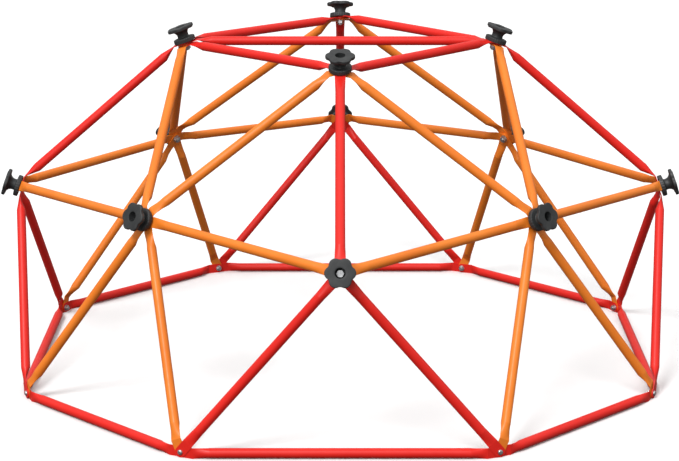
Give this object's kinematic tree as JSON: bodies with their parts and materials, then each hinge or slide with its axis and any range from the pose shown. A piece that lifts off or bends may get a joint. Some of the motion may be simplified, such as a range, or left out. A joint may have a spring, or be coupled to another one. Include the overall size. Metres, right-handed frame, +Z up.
{
  "type": "dome climber",
  "caption": "Child's climbing dome: a frame of straight steel tubes bolted together in triangles, with star knobs on the hubs and an open base ring on the ground.",
  "frame": {"origin": "on the ground, under the middle of the dome", "axes": "+Z up; -Y is the front, where a waist hub faces the viewer; the bar across the roof lies along X"},
  "size_m": [1.8292, 1.8292, 0.916],
  "materials": {
    "red_steel": "satin red powder coat on steel tube",
    "orange_steel": "satin orange powder coat on steel tube",
    "knob_plastic": "moulded charcoal plastic, fine grain",
    "zinc_steel": "bright zinc plate"
  },
  "bodies": {
    "frame": {"base_bar_back": "red_steel", "base_bar_back_left": "red_steel", "base_bar_back_right": "red_steel", "base_bar_front": "red_steel", "base_bar_front_left": "red_steel", "base_bar_front_right": "red_steel", "base_bar_left": "red_steel", "base_bar_right": "red_steel", "crown_bar_back_left": "red_steel", "crown_bar_back_right": "red_steel", "crown_bar_front_left": "red_steel", "crown_bar_front_right": "red_steel", "crown_cross_bar": "red_steel", "foot_bolts": "zinc_steel", "foot_nuts": "zinc_steel", "foot_washers": "zinc_steel", "hub_bolts": "zinc_steel", "hub_nuts": "zinc_steel", "hub_washers": "zinc_steel", "ring_bars_back_left": "orange_steel", "ring_bars_back_right": "orange_steel", "ring_bars_front_left": "orange_steel", "ring_bars_front_right": "orange_steel", "shoulder_legs_back_left": "orange_steel", "shoulder_legs_back_right": "orange_steel", "shoulder_legs_front_left": "orange_steel", "shoulder_legs_front_right": "orange_steel", "spine_back": "red_steel", "spine_front": "red_steel", "spine_left": "red_steel", "spine_right": "red_steel", "upper_bar_back_to_back_left": "orange_steel", "upper_bar_back_to_back_right": "orange_steel", "upper_bar_front_to_front_left": "orange_steel", "upper_bar_front_to_front_right": "orange_steel", "upper_bar_left_to_back_left": "orange_steel", "upper_bar_left_to_front_left": "orange_steel", "upper_bar_right_to_back_right": "orange_steel", "upper_bar_right_to_front_right": "orange_steel", "waist_leg_back_to_back_left": "red_steel", "waist_leg_back_to_back_right": "red_steel", "waist_leg_front_to_front_left": "red_steel", "waist_leg_front_to_front_right": "red_steel", "waist_leg_left_to_back_left": "red_steel", "waist_leg_left_to_front_left": "red_steel", "waist_leg_right_to_back_right": "red_steel", "waist_leg_right_to_front_right": "red_steel"},
    "knob_crown_back": {"knob_crown_back": "knob_plastic"},
    "knob_crown_front": {"knob_crown_front": "knob_plastic"},
    "knob_crown_left": {"knob_crown_left": "knob_plastic"},
    "knob_crown_right": {"knob_crown_right": "knob_plastic"},
    "knob_shoulder_back_left": {"knob_shoulder_back_left": "knob_plastic"},
    "knob_shoulder_back_right": {"knob_shoulder_back_right": "knob_plastic"},
    "knob_shoulder_front_left": {"knob_shoulder_front_left": "knob_plastic"},
    "knob_shoulder_front_right": {"knob_shoulder_front_right": "knob_plastic"},
    "knob_waist_back": {"knob_waist_back": "knob_plastic"},
    "knob_waist_front": {"knob_waist_front": "knob_plastic"},
    "knob_waist_left": {"knob_waist_left": "knob_plastic"},
    "knob_waist_right": {"knob_waist_right": "knob_plastic"}
  },
  "joints": [
    {"name": "knob_crown_back_turn", "type": "hinge", "parent": "frame", "child": "knob_crown_back", "pos_m": [0, 0.4095, 0.8605], "axis": [0, 0.3256, 0.9455], "continuous": true},
    {"name": "knob_crown_front_turn", "type": "hinge", "parent": "frame", "child": "knob_crown_front", "pos_m": [0, -0.4095, 0.8605], "axis": [0, -0.3256, 0.9455], "continuous": true},
    {"name": "knob_crown_left_turn", "type": "hinge", "parent": "frame", "child": "knob_crown_left", "pos_m": [-0.4095, 0, 0.8605], "axis": [-0.3256, 0, 0.9455], "continuous": true},
    {"name": "knob_crown_right_turn", "type": "hinge", "parent": "frame", "child": "knob_crown_right", "pos_m": [0.4095, 0, 0.8605], "axis": [0.3256, 0, 0.9455], "continuous": true},
    {"name": "knob_shoulder_back_left_turn", "type": "hinge", "parent": "frame", "child": "knob_shoulder_back_left", "pos_m": [-0.48154, 0.48154, 0.5], "axis": [-0.6556, 0.6556, 0.3746], "continuous": true},
    {"name": "knob_shoulder_back_right_turn", "type": "hinge", "parent": "frame", "child": "knob_shoulder_back_right", "pos_m": [0.48154, 0.48154, 0.5], "axis": [0.6556, 0.6556, 0.3746], "continuous": true},
    {"name": "knob_shoulder_front_left_turn", "type": "hinge", "parent": "frame", "child": "knob_shoulder_front_left", "pos_m": [-0.48154, -0.48154, 0.5], "axis": [-0.6556, -0.6556, 0.3746], "continuous": true},
    {"name": "knob_shoulder_front_right_turn", "type": "hinge", "parent": "frame", "child": "knob_shoulder_front_right", "pos_m": [0.48154, -0.48154, 0.5], "axis": [0.6556, -0.6556, 0.3746], "continuous": true},
    {"name": "knob_waist_back_turn", "type": "hinge", "parent": "frame", "child": "knob_waist_back", "pos_m": [0, 0.86, 0.4695], "axis": [0, 0.9455, 0.3256], "continuous": true},
    {"name": "knob_waist_front_turn", "type": "hinge", "parent": "frame", "child": "knob_waist_front", "pos_m": [0, -0.86, 0.4695], "axis": [0, -0.9455, 0.3256], "continuous": true},
    {"name": "knob_waist_left_turn", "type": "hinge", "parent": "frame", "child": "knob_waist_left", "pos_m": [-0.86, 0, 0.4695], "axis": [-0.9455, 0, 0.3256], "continuous": true},
    {"name": "knob_waist_right_turn", "type": "hinge", "parent": "frame", "child": "knob_waist_right", "pos_m": [0.86, 0, 0.4695], "axis": [0.9455, 0, 0.3256], "continuous": true}
  ]
}
